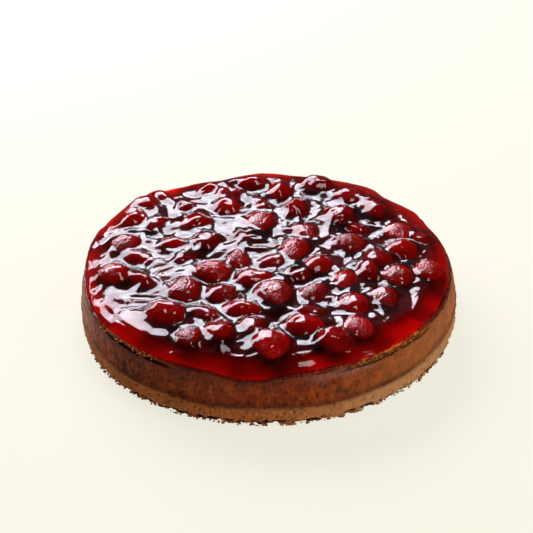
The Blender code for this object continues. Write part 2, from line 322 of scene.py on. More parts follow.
crumbled = np.abs(wander(round_cake, "crumbs", (9, 17, 29)))
side = side_radius(round_cake)
seam = seam_height(round_cake)
base_rows = (
    (side - 7.0 * MM, 0.0),
    (side - (1.2 + 1.2 * crumbled) * MM, (0.5 + 0.9 * crumbled) * MM),
    (side - 0.5 * MM, 2.6 * MM),
    (side, 5.0 * MM),
    (side - 0.5 * MM, seam - 3.0 * MM),
    (side - SEAM_INSET, seam),
    (side - 14.0 * MM, BASE_HEIGHT),
)
radius, height = smooth_rows(base_rows, (2, 4, 4, 9, 5, 1))
grid_angle = np.broadcast_to(round_cake, radius.shape)
points = round_points(radius, height, grid_angle)
on_side = (radius > side - 4.0 * MM) & (height > 0.3 * MM)
near_foot = 1.0 - smooth_step(height, 1.5 * MM, 5.5 * MM)
grain = unevenness(points, 1.7 * MM, "shortcrust grain")
lumps = unevenness(points, 6.0 * MM, "shortcrust lumps")
holes = pits(points, 3.0 * MM, 1.2 * MM, 0.5, "shortcrust holes", 0.7)
foot_gap = near_foot * smooth_step(unevenness(points, 5.0 * MM, "broken foot", 4), 0.0, 0.25)
foot_band = smooth_step(height, 0.6 * MM, 1.4 * MM) * (1.0 - smooth_step(height, 4.0 * MM, 5.0 * MM))
foot_pit = foot_band * smooth_step(pits(points, 5.2 * MM, 2.9 * MM, 0.88, "foot pits", 0.6), 0.0, 0.4)
knife_cut = window(grid_angle, *KNIFE_CUT_DEG, 8.0)
relief_mm = 0.36 * grain + 0.4 * lumps + 0.4 * near_foot * grain
relief_mm = relief_mm - 0.9 * holes - 1.2 * foot_gap - (1.3 + 2.1 * knife_cut) * foot_pit
base_points = round_points(radius + on_side * relief_mm * MM, height, grid_angle)

shade = unevenness(points, 11.0 * MM, "shortcrust shade")
base_colour = layered(mixed(paint("A65A22"), paint("8C4818"), 0.5 + 0.6 * shade + 0.5 * grain), (
    (paint("D29C60"), 0.36 * smooth_step(grain, 0.15, 0.6)),  # pale sandy grains
    (paint("C4986C"), 0.45 * window(grid_angle, -75.0, 60.0, 22.0)),  # paler at the right: painted light
    (paint("4A2410"), 0.8 * holes + 0.6 * smooth_step(height, seam - 3.5 * MM, seam)),  # painted shade in holes and under the seam
    (paint("160803"), 0.9 * foot_gap + (0.8 + 1.1 * knife_cut) * foot_pit + 0.15 * near_foot),  # painted shade in the foot's gaps and low down
))

# Baked shortcrust: dry and matt, sandy grains in straw and light brown, so light spreads with no shine. The
# grains are drawn about twice as coarse as real ones, so that they show.
shortcrust, tree, shader = start_material("baked_shortcrust", roughness=0.82)
speckle_surface(tree, shader, 1.1 * MM, 3.0, 0.28, 0.6, 0.25 * MM)
shader.inputs["Specular IOR Level"].default_value = 0.25

base = round_solid("shortcrust_base_baked", base_points, shortcrust, base_colour)
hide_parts("shortcrust_base")


# Baked cheesecake
# Egg and curd cheese baked in the tin: its side has browned against the metal, with small bubbles drawn
# up it, and has split from its golden top edge in two places. Juice from the jelly has soaked in there.
CAKE_RADIUS = 130.0 * MM
RIM_HEIGHT = 37.0 * MM
BED_HEIGHT = 35.0 * MM
BED_LEVEL_RADIUS = 104.0 * MM
BED_RIM_RADIUS = 115.0 * MM
BED_SWELLING = 3.4 * MM
BED_SWELLING_DEG = (98.0, 128.0)
# The radius of the jelly's rim in mm at angles in degrees round the cake
JELLY_STATIONS = (
    (0, 122.8), (22, 121.6), (28, 123.4), (41, 120.0), (52, 124.6), (78, 119.0), (92, 123.0), (109, 116.6),
    (134, 125.0), (162, 125.2), (185, 121.6), (212, 124.6), (245, 126.0), (265, 127.4), (290, 126.0),
    (330, 124.8),
)
LEFT_SPLIT_DEG = (-147.0, -120.0)
RIGHT_SPLIT_DEG = (-70.0, -38.0)
# The rows in the crevice under a torn edge, and how many rows the browned side has, counted from its foot
CREVICE_ROWS = (31, 35)
SIDE_ROWS = 34
RUN_ANGLE_DEG = -95.0
RUN_HALF_WIDTH_DEG = 7.0
RUN_FADE_DEG = 5.6
RUN_DROP = 3.4 * MM


def run_over(angle):
    """How far the jelly has run over the rim, from 0 to 1."""
    return window(angle, RUN_ANGLE_DEG - RUN_HALF_WIDTH_DEG, RUN_ANGLE_DEG + RUN_HALF_WIDTH_DEG, RUN_FADE_DEG)


def jelly_rim(angle):
    """The radius of the jelly's rim at its widest."""
    return around(angle, JELLY_STATIONS)


def bed_height(radius, angle):
    """The cheesecake's top surface, on which fruit and jelly lie."""
    dished = smooth_step(radius, BED_LEVEL_RADIUS, BED_RIM_RADIUS) * (RIM_HEIGHT - BED_HEIGHT)
    sunk_rim = smooth_step(radius, BED_RIM_RADIUS - 6.0 * MM, CAKE_RADIUS - 3.0 * MM) * RUN_DROP
    edge = jelly_rim(angle) - radius
    raised = smooth_step(edge, 1.5 * MM, 5.0 * MM) * (1.0 - smooth_step(edge, 12.0 * MM, 22.0 * MM))
    raised = raised * window(angle, *BED_SWELLING_DEG, 9.0)
    return BED_HEIGHT + dished - sunk_rim * run_over(angle) + BED_SWELLING * raised


def crust_row(share, inset_mm, height_mm):
    """A row on the browned side, drawn in by share towards the jelly's rim, and lower where that ran over."""
    level = height_mm * MM
    sag = RUN_DROP * run * smooth_step(level, seam, RIM_HEIGHT)
    return side * (1.0 - share) + (rim + 1.0 * MM) * share - inset_mm * MM, level - sag


def bed_row(inset):
    """A row on the bed under the jelly, some way in from the jelly's rim."""
    return rim - inset, bed_height(rim - inset, round_cake)


rim = jelly_rim(round_cake)
run = run_over(round_cake)
split = np.maximum(window(round_cake, *LEFT_SPLIT_DEG, 6.0), window(round_cake, *RIGHT_SPLIT_DEG, 6.0))
torn = wander(round_cake, "torn edge", (23, 31, 47, 71))
cake_rows = (
    (side - 14.0 * MM, BASE_HEIGHT + 0.3 * MM),
    (side - SEAM_INSET + 0.9 * MM, seam + 0.3 * MM),
    (side - 0.7 * MM, seam + 2.4 * MM),
    crust_row(0.08, 0.9, 20.0),
    crust_row(0.12, 1.2, 26.0),
    crust_row(0.48 - 0.2 * split, 0.6, 32.4 + (0.9 + 0.6 * torn) * split),
    crust_row(0.56, 0.7 + 0.9 * split, 33.6 - 2.2 * split + 0.5 * torn),
    crust_row(0.62, 0.4 + 1.5 * split, 34.5 + 0.5 * torn),
    crust_row(0.85, 0.5 * split * (1.0 + torn), 35.5 + 0.4 * torn),
    (rim + 0.6 * MM, bed_height(rim, round_cake) - 0.2 * MM),
    bed_row(2.0 * MM), bed_row(6.0 * MM), bed_row(11.0 * MM),
    (BED_LEVEL_RADIUS - 4.0 * MM, BED_HEIGHT),
)
radius, height = smooth_rows(cake_rows, (1, 4, 7, 8, 9, 3, 3, 4, 4, 3, 3, 2, 2))
grid_angle = np.broadcast_to(round_cake, radius.shape)
points = round_points(radius, height, grid_angle)
outside = (radius > rim - 1.0 * MM) & (height > BASE_HEIGHT + 1.0 * MM)
waves = unevenness(points, 15.0 * MM, "side waves", 2)
dents = unevenness(points, 4.5 * MM, "side dents", 3, 1.6)
grain = unevenness(points, 1.3 * MM, "side grain", 3, 2.4)
bubbles = pits(points, 2.2 * MM, 0.8 * MM, 0.35, "drawn bubbles", 2.2)
crumbly = unevenness(points, 1.9 * MM, "lip crumbs", 3)
lip = smooth_step(height + RUN_DROP * run, 34.2 * MM, 35.4 * MM)
below_lip = outside * (1.0 - lip)
relief_mm = 0.5 * waves + 0.4 * dents + 0.2 * grain - 0.7 * bubbles * (1.0 - lip) + 0.55 * lip * crumbly
radius = radius + outside * relief_mm * MM
height = height + outside * lip * 0.35 * crumbly * MM
cake_points = round_points(radius, height, grid_angle)

# The colours of the side: light and dark browning, what lies over it, and painted shade, light and sheen
radius_mm, height_mm = radius / MM, height / MM
patches = unevenness(points, 17.0 * MM, "brown patches", 3, 0.7)
clouds = unevenness(points, 7.0 * MM, "brown clouds", 4)
golden = smooth_step(0.6 * dents + 0.7 * grain, 0.05, 0.65) * (1.0 - smooth_step(height_mm, 24.0, 32.0))
toasted = smooth_step(clouds + 0.6 * crumbly, -0.25, 0.45)
lip_colour = mixed(paint("9A5A24"), paint("D8862C"), window(grid_angle, *RIGHT_SPLIT_DEG, 6.0))
lip_colour = mixed(paint("6A3414"), lip_colour, toasted)
row_number = np.arange(len(radius))[:, None]
# The crevice under a torn edge is painted near black: painted shade
crevice_shade = split * ((row_number >= CREVICE_ROWS[0]) & (row_number <= CREVICE_ROWS[1]))
soaked = outside * (1.0 - split) * smooth_step(height_mm + 0.8 * clouds + 3.0 * run, 34.6, 36.0)
on_bed = ((radius < rim - 1.0 * MM) & (height > BASE_HEIGHT + 6.0 * MM)).astype(float)
# The bed is paler at the back and the right front, where the thin rim glows: a painted glow of light
bed_painted_glow = np.maximum(window(grid_angle, 60.0, 150.0, 20.0), 0.5 * window(grid_angle, -50.0, -30.0, 10.0))
bed_stains = smooth_step(wander(grid_angle, "bed stains", (7, 11, 16, 23)), -0.1, 0.5)
bed_colour = mixed(mixed(paint("B88860"), paint("E8CBA0"), bed_painted_glow), paint("5E2A1C"), 0.75 * bed_stains)
over_seam = height_mm - seam / MM
# A dark band just over the seam: painted shade in the crease
seam_crease_shade = smooth_step(over_seam, 0.2, 1.4) * (1.0 - smooth_step(over_seam, 1.8, 4.2))
clouded_height = height_mm + 1.5 * clouds
# A pinkish haze with light specks on the right front: a painted wet sheen
painted_wet_sheen = window(grid_angle, -78.0, -62.0, 5.0) * smooth_step(clouded_height, 28.0, 32.0)
painted_wet_sheen = painted_wet_sheen * below_lip * (0.4 + 0.6 * smooth_step(grain, -0.2, 0.5))
juicy = window(grid_angle, -86.0, -54.0, 7.0) * smooth_step(clouded_height, 27.0, 31.5)
crust_colour = layered(mixed(paint("7C2A06"), paint("923804"), 0.5 + 1.1 * patches), (
    (paint("4C1C06"), 0.35 + 0.75 * clouds),  # darker clouds
    (paint("68291C"), 0.4 * smooth_step(height_mm, 26.0, 33.0)),  # redder towards the top
    (paint("B0641E"), 0.32 * golden),  # golden grains lower down
    (paint("1E0A04"), 0.75 * bubbles + 0.45 * smooth_step(-grain, 0.25, 0.6)),  # painted shade in bubbles and pores
    (lip_colour, lip * (0.04 + 0.96 * split) * (0.8 + 0.5 * crumbly)),  # the torn top edge
    (paint("140604"), 0.95 * crevice_shade),  # painted shade in the crevice under it
    (paint("3C0A08"), 0.7 * soaked),  # juice soaked in along the top
    (bed_colour, on_bed),  # the bed under the jelly
    (paint("74362A"), on_bed * (1.0 - smooth_step(radius_mm, 102.0, 117.0))),  # darker further in: painted shade under the deep jelly
    (paint("BC7638"), 0.38 * window(grid_angle, -60.0, 60.0, 24.0) * below_lip),  # painted light and sheen at the right
    (paint("B48460"), 0.45 * (1.0 - window(grid_angle, -160.0, 140.0, 22.0)) * below_lip),  # painted sheen at the left
    (paint("3E1C0C"), 0.35 * seam_crease_shade),  # painted shade in the crease over the seam
    (paint("B07C6E"), 0.42 * painted_wet_sheen),  # a painted wet sheen with specks
))
wet = np.clip(0.5 * soaked + juicy * (0.7 + 0.8 * dents), 0.0, 1.0) * outside

# Browned cheesecake: a leathery, slightly moist skin, so it has a dull broad shine that sharpens where it
# is wet with juice near the top, and it pales where it is seen at a slant. Its pores are drawn a little
# coarser than real ones, so that they show.
browned, tree, shader = start_material("browned_cheesecake_skin", roughness=0.5)
shader.inputs["Specular IOR Level"].default_value = 0.14
speckle_surface(tree, shader, 1.4 * MM, 4.0, 0.25, 0.4, 0.2 * MM)
moist = add_node(tree, "ShaderNodeAttribute", {"attribute_name": "wetness"})
dull = add_node(tree, "ShaderNodeMapRange", {3: 0.6, 4: 0.35}, {0: moist.outputs["Fac"]})
tree.links.new(dull.outputs[0], shader.inputs["Roughness"])
tree.links.new(moist.outputs["Fac"], shader.inputs["Coat Weight"])
shader.inputs["Coat Roughness"].default_value = 0.12
shader.inputs["Coat IOR"].default_value = 1.37
shader.inputs["Sheen Weight"].default_value = 0.22
shader.inputs["Sheen Roughness"].default_value = 0.35
shader.inputs["Sheen Tint"].default_value = paint("FFDCC4")

cheesecake = round_solid("cheesecake_browned", cake_points, browned, crust_colour, wet)
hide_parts("baked_cheesecake")


# Crumbs
# Shortcrust crumbs that cling along the foot where the knife ran, and golden ones on the torn top edge.
# Each is a small uneven lump pressed into the cake, and all of them are one piece.
FOOT_CRUMBS = 420
LIP_CRUMBS = 120


def small_ball():
    """The points and faces of a ball of radius 1, to be made uneven."""
    ball = bmesh.new()
    bmesh.ops.create_icosphere(ball, subdivisions=2, radius=1.0)
    points = np.array([v.co for v in ball.verts])
    faces = [[v.index for v in face.verts] for face in ball.faces]
    ball.free()
    return points, faces


def uneven_lump(draw, depth, closeness):
    """The points of a small ball with bumps in it, the closer together the higher the closeness."""
    shift = Vector([draw.uniform(-40.0, 40.0) for _ in range(3)])
    bumps = np.array([1.0 + depth * noise.noise(Vector(p) * closeness + shift) for p in ball_points])
    return ball_points * bumps[:, None]


def joined(lumps):
    """The points and faces of many closed lumps as those of one mesh."""
    all_points, all_faces, count = [], [], 0
    for lump_points, lump_faces in lumps:
        all_points.append(lump_points)
        all_faces += [[corner + count for corner in face] for face in lump_faces]
        count += len(lump_points)
    return np.concatenate(all_points), all_faces


ball_points, ball_faces = small_ball()
draw = random.Random("crumbs")
crumb_lumps, crumb_colours = [], []
for i in range(FOOT_CRUMBS + LIP_CRUMBS):
    at_foot = i < FOOT_CRUMBS
    if at_foot:
        angle = draw.uniform(0.0, math.tau)
        size = draw.uniform(0.4, 1.05) * MM
        from_middle = float(side_radius(np.array(angle))) + draw.uniform(-1.8, -0.35) * MM
        level = draw.uniform(0.6, 1.3) * size
        shade = mixed(paint("BC7A40"), paint("7A441C"), np.array(draw.uniform(0.0, 1.0)))
    else:
        angle = math.radians(draw.uniform(-68.0, -40.0) if i % 3 else draw.uniform(-146.0, -121.0))
        size = draw.uniform(0.35, 0.8) * MM
        from_middle = float(jelly_rim(np.array(angle))) + draw.uniform(0.8, 3.4) * MM
        level = draw.uniform(35.4, 36.2) * MM
        shade = mixed(paint("B86A24"), paint("6A3414"), np.array(draw.uniform(0.0, 1.0)))
    shape = uneven_lump(draw, 0.45, 1.3)
    stretch = np.array([draw.uniform(0.7, 1.35) for _ in range(2)] + [draw.uniform(0.6, 0.95)])
    placed = shape * stretch * size
    placed = placed + np.array((math.cos(angle) * from_middle, math.sin(angle) * from_middle, level))
    placed[:, 2] = np.maximum(placed[:, 2], 0.05 * MM)
    crumb_lumps.append((placed, ball_faces))
    crumb_colours.append(np.broadcast_to(shade, (len(ball_points), 3)))
crumbs = finished_piece("shortcrust_crumbs", *joined(crumb_lumps), shortcrust, np.concatenate(crumb_colours))


# Strawberries
# Whole small strawberries, hulled and cooked through in their syrup, so they are deep red, soft and a little
# flattened, with their seeds in dimples. They are laid on the cheesecake by hand, tips mostly to the front.
BERRY_BANDS = 68
BERRY_SIDES = 60
BERRY_LUMPS = 0.5 * MM
SEED_SPACING = 1.75 * MM
SEED_RADIUS = 0.26 * MM
SEED_RISE = 0.16 * MM
DIMPLE_RADIUS = 0.6 * MM
DIMPLE_DEPTH = 0.66 * MM
GOLDEN_ANGLE = 2.39996


def read_berry(node):
    """A berry's middle, its three axes and half sizes, and how much it narrows, from its plain solid."""
    points = np.unique(np.round([v.co for v in node.data.vertices], 6), axis=0)
    middle = (points.max(0) + points.min(0)) / 2.0
    axes = np.linalg.svd(points - points.mean(0))[2]
    local = (points - middle) @ axes.T
    middle = middle + ((local.max(0) + local.min(0)) / 2.0) @ axes
    local = (points - middle) @ axes.T
    half_length = np.abs(local[:, 0]).max()
    share = local[:, 0] / half_length
    breadth = np.hypot(local[:, 1], local[:, 2])
    stem_half = breadth[np.abs(share + 0.5) < 0.1].mean()
    tip_half = breadth[np.abs(share - 0.5) < 0.1].mean()
    along, across, up = axes
    if tip_half > stem_half:
        along, tip_half, stem_half = -along, stem_half, tip_half
    up = up if up[2] > 0.0 else -up
    across = np.cross(up, along)
    waist = np.abs(share) < 0.1
    narrowing = 2.0 * (stem_half - tip_half) / (stem_half + tip_half)
    halves = (half_length, np.abs(local[waist, 1]).max(), np.abs(local[waist, 2]).max())
    return {"middle": middle, "axes": np.array((along, across, up)), "halves": halves, "narrowing": narrowing}


def berry_solid(berry, seed):
    """The points and faces of one detailed berry. The mesh is finer on its upper side, where it shows."""
    draw = random.Random(seed)
    length, width, thickness = berry["halves"]
    turns = np.arange(BERRY_SIDES) / BERRY_SIDES * math.tau
    turns = turns + 0.6 * np.cos(turns)
    bands = np.arange(1, BERRY_BANDS) / BERRY_BANDS * math.pi
    shares = -np.cos(bands)

    def surface(share, turn):
        fullness = np.sqrt(np.clip(1.0 - share ** 2, 0.0, 1.0)) * (1.0 - berry["narrowing"] * share)
        return np.stack([share * length + 0.0 * turn, fullness * np.cos(turn) * width,
                         fullness * np.sin(turn) * thickness], axis=-1)

    grid = surface(shares[:, None], turns[None, :]).reshape(-1, 3)
    ends = surface(np.array([-1.0, 1.0]), np.zeros(2))
    local = np.concatenate([grid, ends])
    area = 4.0 * math.pi * (length * width * thickness) ** (2.0 / 3.0)
    count = int(area / (SEED_SPACING ** 2))
    seeds = kdtree.KDTree(count)
    for i in range(count):
        share = np.float64(1.0 - 2.0 * (i + 0.5) / count + draw.uniform(-0.3, 0.3) / count ** 0.5)
        turn = np.float64(i * GOLDEN_ANGLE + draw.uniform(-0.12, 0.12))
        seeds.insert(Vector(surface(np.clip(share, -0.995, 0.995), turn)), i)
    seeds.balance()
    distance = np.array([seeds.find(Vector(p))[2] for p in local])
    outward = local / (np.array((length, width, thickness)) ** 2)
    outward /= np.linalg.norm(outward, axis=1)[:, None]
    shift = Vector([draw.uniform(-40.0, 40.0) for _ in range(3)])
    lumps = np.array([noise.fractal(Vector(p) / (6.0 * MM) + shift, 1.0, 2.0, 2) for p in local])
    dimple = np.exp(-(distance / DIMPLE_RADIUS) ** 2)
    seed_dot = np.exp(-(distance / SEED_RADIUS) ** 2)
    relief = BERRY_LUMPS * lumps - DIMPLE_DEPTH * dimple + SEED_RISE * seed_dot
    placed = berry["middle"] + (local + outward * relief[:, None]) @ berry["axes"]
    rows = BERRY_BANDS - 1
    index = np.arange(rows * BERRY_SIDES).reshape(rows, BERRY_SIDES)
    beside = np.roll(index, -1, axis=1)
    faces = np.stack([index[:-1], index[1:], beside[1:], beside[:-1]], axis=-1).reshape(-1, 4).tolist()
    stem_end, tip_end = rows * BERRY_SIDES, rows * BERRY_SIDES + 1
    faces += [(stem_end, int(a), int(b)) for a, b in zip(index[0], beside[0])]
    faces += [(tip_end, int(b), int(a)) for a, b in zip(index[-1], beside[-1])]
    ripe = mixed(paint("880608"), paint("600305"), draw.uniform(0.0, 1.0) + 0.6 * lumps)
    ripe = mixed(ripe, paint("C8402A"), 0.55 * seed_dot)
    return placed, faces, ripe


# Cooked strawberry: soft red flesh that glows a little, wet and glassy where it stands clear of the jelly
flesh, tree, shader = start_material("glazed_strawberry", roughness=0.32, ior=1.37, coat_weight=1.0,
                                     coat_roughness=0.015, coat_ior=1.38)
ripe_colour = add_node(tree, "ShaderNodeVertexColor", {"layer_name": "bake"})
tree.links.new(ripe_colour.outputs["Color"], shader.inputs["Base Color"])
clear_crown = add_node(tree, "ShaderNodeAttribute", {"attribute_name": "wetness"})
tree.links.new(clear_crown.outputs["Fac"], shader.inputs["Coat Weight"])
shader.inputs["Specular IOR Level"].default_value = 0.0
shader.inputs["Subsurface Weight"].default_value = 0.2
shader.inputs["Subsurface Scale"].default_value = 1.0 * MM
shader.inputs["Subsurface Radius"].default_value = (2.2, 0.3, 0.2)

berry_names = sorted(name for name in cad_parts
                     if name.startswith("strawberry_") and name[-2:].isdigit())
berries = {name: read_berry(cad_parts[name]) for name in berry_names}


def level_axes(turn):
    """Three axes, the first two level and turned about the upright third."""
    return np.array(((math.cos(turn), math.sin(turn), 0.0), (-math.sin(turn), math.cos(turn), 0.0),
                     (0.0, 0.0, 1.0)))


def sunk_berry(x, y, top, heading, halves):
    """A berry wholly under the jelly, by its place, top and half sizes in mm and its heading in degrees."""
    halves = tuple(half * MM for half in halves)
    middle = np.array((x * MM, y * MM, top * MM - halves[2]))
    return {"middle": middle, "axes": level_axes(math.radians(heading)), "halves": halves, "narrowing": 0.2}


SUNK_BERRIES = (
    sunk_berry(-42, 87, 46.5, 10, (9.0, 7.0, 5.0)),
    sunk_berry(106, 14, 45.0, -70, (8.0, 6.0, 4.5)),
    sunk_berry(-15, 20, 45.8, 30, (8.0, 6.0, 4.5)),
    sunk_berry(-108, 30, 44.2, -120, (7.0, 5.5, 4.0)),
    sunk_berry(22, -28, 45.4, 10, (7.0, 6.0, 4.5)),
)

BERRY_GROUPS = {"plump_strawberries": (0, 22), "heart_strawberries": (22, 32),
                "slender_strawberries": (32, 52), "upright_strawberries": (52, 57)}
for group, (first, last) in BERRY_GROUPS.items():
    members = berry_names[first:last]
    shapes = [(berries[name], name) for name in members]
    if group == "upright_strawberries":
        shapes += [(berry, f"sunk {i}") for i, berry in enumerate(SUNK_BERRIES)]
    made = [berry_solid(berry, seed) for berry, seed in shapes]
    berry_colours = np.concatenate([ripe for _, _, ripe in made])
    fruit = finished_piece(group, *joined((placed, faces) for placed, faces, _ in made), flesh, berry_colours)
    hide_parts(*members)


# Red jelly
# Strawberry jelly poured warm over the fruit inside a collar. It has set clear and deep red, flat in the
# gaps, drawn up the sides of the berries, with skin wrinkles, and rounded where the collar came off.
JELLY_LEVEL = 42.8 * MM
JELLY_CELLS = 264
JELLY_CROWN = 2.4 * MM
JELLY_SWELL = 0.5 * MM
JELLY_SINK = 0.4 * MM
PLAIN_RADIUS = 118.0 * MM
TOP_INSET = 3.6 * MM
SHOULDER_DROP = 1.0 * MM
BERRY_REACH = 28.0 * MM
CLIMB_EDGE = 0.86
CLIMB_SOFTNESS = 2.3 * MM
CLIMB_UNEVEN = 1.8 * MM
CLIMB_LEAST = 1.1 * MM
FILM = -0.7 * MM
FILM_RUNS = 1.6 * MM
FILM_LEAST = -1.3 * MM
# A flat lobe at the left front that mirrors the window in one patch, a folded stretch of rim at the left,
# and the back, where the top slopes further down to the rim
LOBE_DEG, LOBE_FADE_DEG = (-142.0, -122.0), 5.0
FOLD_DEG, FOLD_FADE_DEG = (-176.0, -152.0), 5.0
BACK_DEG, BACK_FADE_DEG = (20.0, 175.0), 12.0
# Berries by number that the jelly quite covers, with its shine running over them, and those it half covers.
# The others stand out of it bare, and the sunk ones lie deep in it.
COVERED = (1, 3, 4, 6, 7, 17, 19, 20, 21, 34, 35, 36, 37, 38, 39, 40, 42, 45, 48, 50, 51, 52, 54, 56)
HALF_COVERED = (2, 5, 9, 13, 22, 26, 30, 32, 33, 41, 44, 46, 49, 57)
SUNK_COVER = 1.6


def cover_share(name):
    """How far the jelly covers a berry, from 0 for a bare crown to 1 for one under the skin."""
    number = int(name[-2:])
    return 1.0 if number in COVERED else 0.5 if number in HALF_COVERED else 0.0


laid_berries = [(berry, cover_share(name)) for name, berry in berries.items()]
laid_berries += [(berry, SUNK_COVER) for berry in SUNK_BERRIES]


def berry_top(berry, x, y):
    """The height of a berry's upper surface at each place, carried on down as a steep skirt outside it."""
    dx, dy = x - berry["middle"][0], y - berry["middle"][1]
    length, width, thickness = berry["halves"]
    axes = berry["axes"]
    z = np.full(np.shape(x), thickness * 0.7)
    # How far the berry narrows depends on the height that is sought, so that is found in three rounds
    for _ in range(3):
        share = np.clip((axes[0, 0] * dx + axes[0, 1] * dy + axes[0, 2] * z) / length, -1.0, 1.0)
        slim = 1.0 - berry["narrowing"] * share
        weights = (1.0 / length ** 2 + 0.0 * slim, 1.0 / (width * slim) ** 2, 1.0 / (thickness * slim) ** 2)
        zz = sum(w * a[2] * a[2] for w, a in zip(weights, axes))
        xz = sum(w * a[0] * a[2] for w, a in zip(weights, axes))
        yz = sum(w * a[1] * a[2] for w, a in zip(weights, axes))
        flat = sum(w * (a[0] * dx + a[1] * dy) ** 2 for w, a in zip(weights, axes))
        lean = xz * dx + yz * dy
        reach = np.sqrt(np.clip(flat - lean ** 2 / zz, 0.0, None))
        edge_rise = math.sqrt(1.0 - CLIMB_EDGE ** 2)
        rise = np.where(reach < CLIMB_EDGE, np.sqrt(np.clip(1.0 - reach ** 2, 0.0, 1.0)),
                        edge_rise - CLIMB_EDGE / edge_rise * (reach - CLIMB_EDGE))
        z = -lean / zz + rise / np.sqrt(zz)
    return berry["middle"][2] + z


# Ridges in the set skin, each from and to in mm, how far it bows aside, its half width and its height
SKIN_RIDGES = (
    (-92, -50, -55, -62, 4.0, 1.3, 0.7), (-90, -55, -58, -50, -5.0, 1.1, 0.5),
    (-95, -66, -60, -70, 3.0, 1.2, 0.5), (-78, -32, -62, -14, 7.0, 1.2, 0.8),
    (-74, -36, -58, -18, 6.0, 1.0, 0.6), (-80, -26, -66, -8, 8.0, 1.2, 0.5),
    (-66, -45, -78, -30, -4.0, 1.1, 0.7), (-40, -8, -24, -2, 3.0, 1.0, 0.5),
    (-100, -88, -80, -60, 4.0, 1.5, 0.4), (66, 6, 82, 14, 4.0, 1.1, 0.5),
    (30, 38, 44, 32, 3.0, 1.0, 0.5), (97, -54, 91, -77, 1.5, 2.2, 1.3),
    (-62, -102, 2, -119.5, -5.0, 2.0, 1.6), (14, -117.5, 38, -111, -1.0, 1.9, 1.4),
    (52, -107, 66, -99, -0.5, 1.5, 0.9),
)


def ridge_rise(x, y, ridge):
    """The height that one bowed ridge adds, fading out at its ends."""
    x0, y0, x1, y1, bow, half_width, rise = (value * MM for value in ridge)
    length = math.hypot(x1 - x0, y1 - y0)
    ux, uy = (x1 - x0) / length, (y1 - y0) / length
    along = ((x - x0) * ux + (y - y0) * uy) / length
    aside = -(x - x0) * uy + (y - y0) * ux
    inside = np.clip(along, 0.0, 1.0)
    off = aside - bow * 4.0 * inside * (1.0 - inside)
    fade = smooth_step(along, -0.05, 0.25) * (1.0 - smooth_step(along, 0.75, 1.05))
    return rise * fade * np.exp(-(off / half_width) ** 2)


def jelly_top(x, y):
    """The height of the jelly's surface at each place, with its skin drawn up over the berries."""
    places = np.stack([x, y, 0.0 * x], axis=-1)
    drift = unevenness(places, 16.0 * MM, "skin drift", 1)
    wavy = unevenness(places + 4.0 * MM * drift[..., None], 9.0 * MM, "skin waves", 1)
    ripple = unevenness(places, 5.0 * MM, "skin ripples", 1)
    fold = unevenness(places, 18.0 * MM, "skin folds", 2)
    wrinkle = np.exp(-(fold / 0.045) ** 2) * smooth_step(drift, -0.1, 0.2)
    rough = 1.5 * wavy + 0.18 * ripple + 0.35 * wrinkle
    swell = np.sin(x / (17.0 * MM) + 0.6) * np.sin(y / (21.0 * MM) + 1.9)

    angle, from_middle = np.arctan2(y, x), np.hypot(x, y)
    in_lobe = window(angle, *LOBE_DEG, LOBE_FADE_DEG) * smooth_step(from_middle, 101.0 * MM, 108.0 * MM)
    in_fold = window(angle, *FOLD_DEG, FOLD_FADE_DEG)
    at_back = window(angle, *BACK_DEG, BACK_FADE_DEG)
    calm = smooth_step(from_middle, (104.0 - 6.0 * at_back) * MM, 117.0 * MM)
    lively = (1.0 - 0.8 * in_lobe) * (1.0 - (0.85 - 0.75 * in_fold) * calm)
    slope_start = (111.0 + 7.0 * in_lobe - 14.0 * at_back) * MM
    slope = smooth_step(from_middle - slope_start, 0.0, (13.5 + 11.0 * at_back) * MM)
    filled = JELLY_CROWN + (1.3 * at_back + 0.9 * in_lobe - (3.4 + 0.9 * at_back) * slope) * MM
    top = JELLY_LEVEL + filled + JELLY_SWELL * swell * (1.0 - in_lobe) + lively * rough * MM
    for ridge in SKIN_RIDGES:
        top = top + ridge_rise(x, y, ridge) * (1.0 - in_lobe)

    # On a bare berry the skin ends mostly a little below the crown, which stands out of it. The more a berry
    # is covered, the thicker and the more uneven the skin over it, and the softer its outline.
    film = np.maximum(FILM + FILM_RUNS * unevenness(places, 11.0 * MM, "film", 1), FILM_LEAST)
    soft = np.maximum(CLIMB_SOFTNESS + CLIMB_UNEVEN * unevenness(places, 19.0 * MM, "climb", 1), CLIMB_LEAST)
    for berry, covered in laid_berries:
        near = np.hypot(x - berry["middle"][0], y - berry["middle"][1]) < BERRY_REACH
        skin = film[near] * (1.0 - min(covered, 1.0))
        skin = skin + covered * (0.8 + rough[near] + 0.5 * ripple[near]) * MM
        draped = berry_top(berry, x[near], y[near]) + skin
        softness = soft[near] * (0.9 + 0.5 * covered)
        top[near] = softness * np.logaddexp(top[near] / softness, draped / softness)
    return top


# The top is a square grid drawn out to a disc, so that its cells stay even from the middle to the rim
side_steps = np.linspace(-1.0, 1.0, JELLY_CELLS + 1)
square_x, square_y = np.meshgrid(side_steps, side_steps, indexing="ij")
disc_x = square_x * np.sqrt(1.0 - square_y ** 2 / 2.0)
disc_y = square_y * np.sqrt(1.0 - square_x ** 2 / 2.0)
disc_share, disc_angle = np.hypot(disc_x, disc_y), np.arctan2(disc_y, disc_x)
disc_rim = jelly_rim(disc_angle)
disc_radius = disc_share * (PLAIN_RADIUS + (disc_rim - TOP_INSET - PLAIN_RADIUS) * disc_share ** 3)
disc_x, disc_y = disc_radius * np.cos(disc_angle), disc_radius * np.sin(disc_angle)
shoulder_start = (-9.5 + 4.0 * window(disc_angle, *LOBE_DEG, LOBE_FADE_DEG)) * MM
shoulder = SHOULDER_DROP * smooth_step(disc_radius - disc_rim, shoulder_start, -TOP_INSET)
top_points = round_points(disc_radius, jelly_top(disc_x, disc_y) - shoulder, disc_angle).reshape(-1, 3)

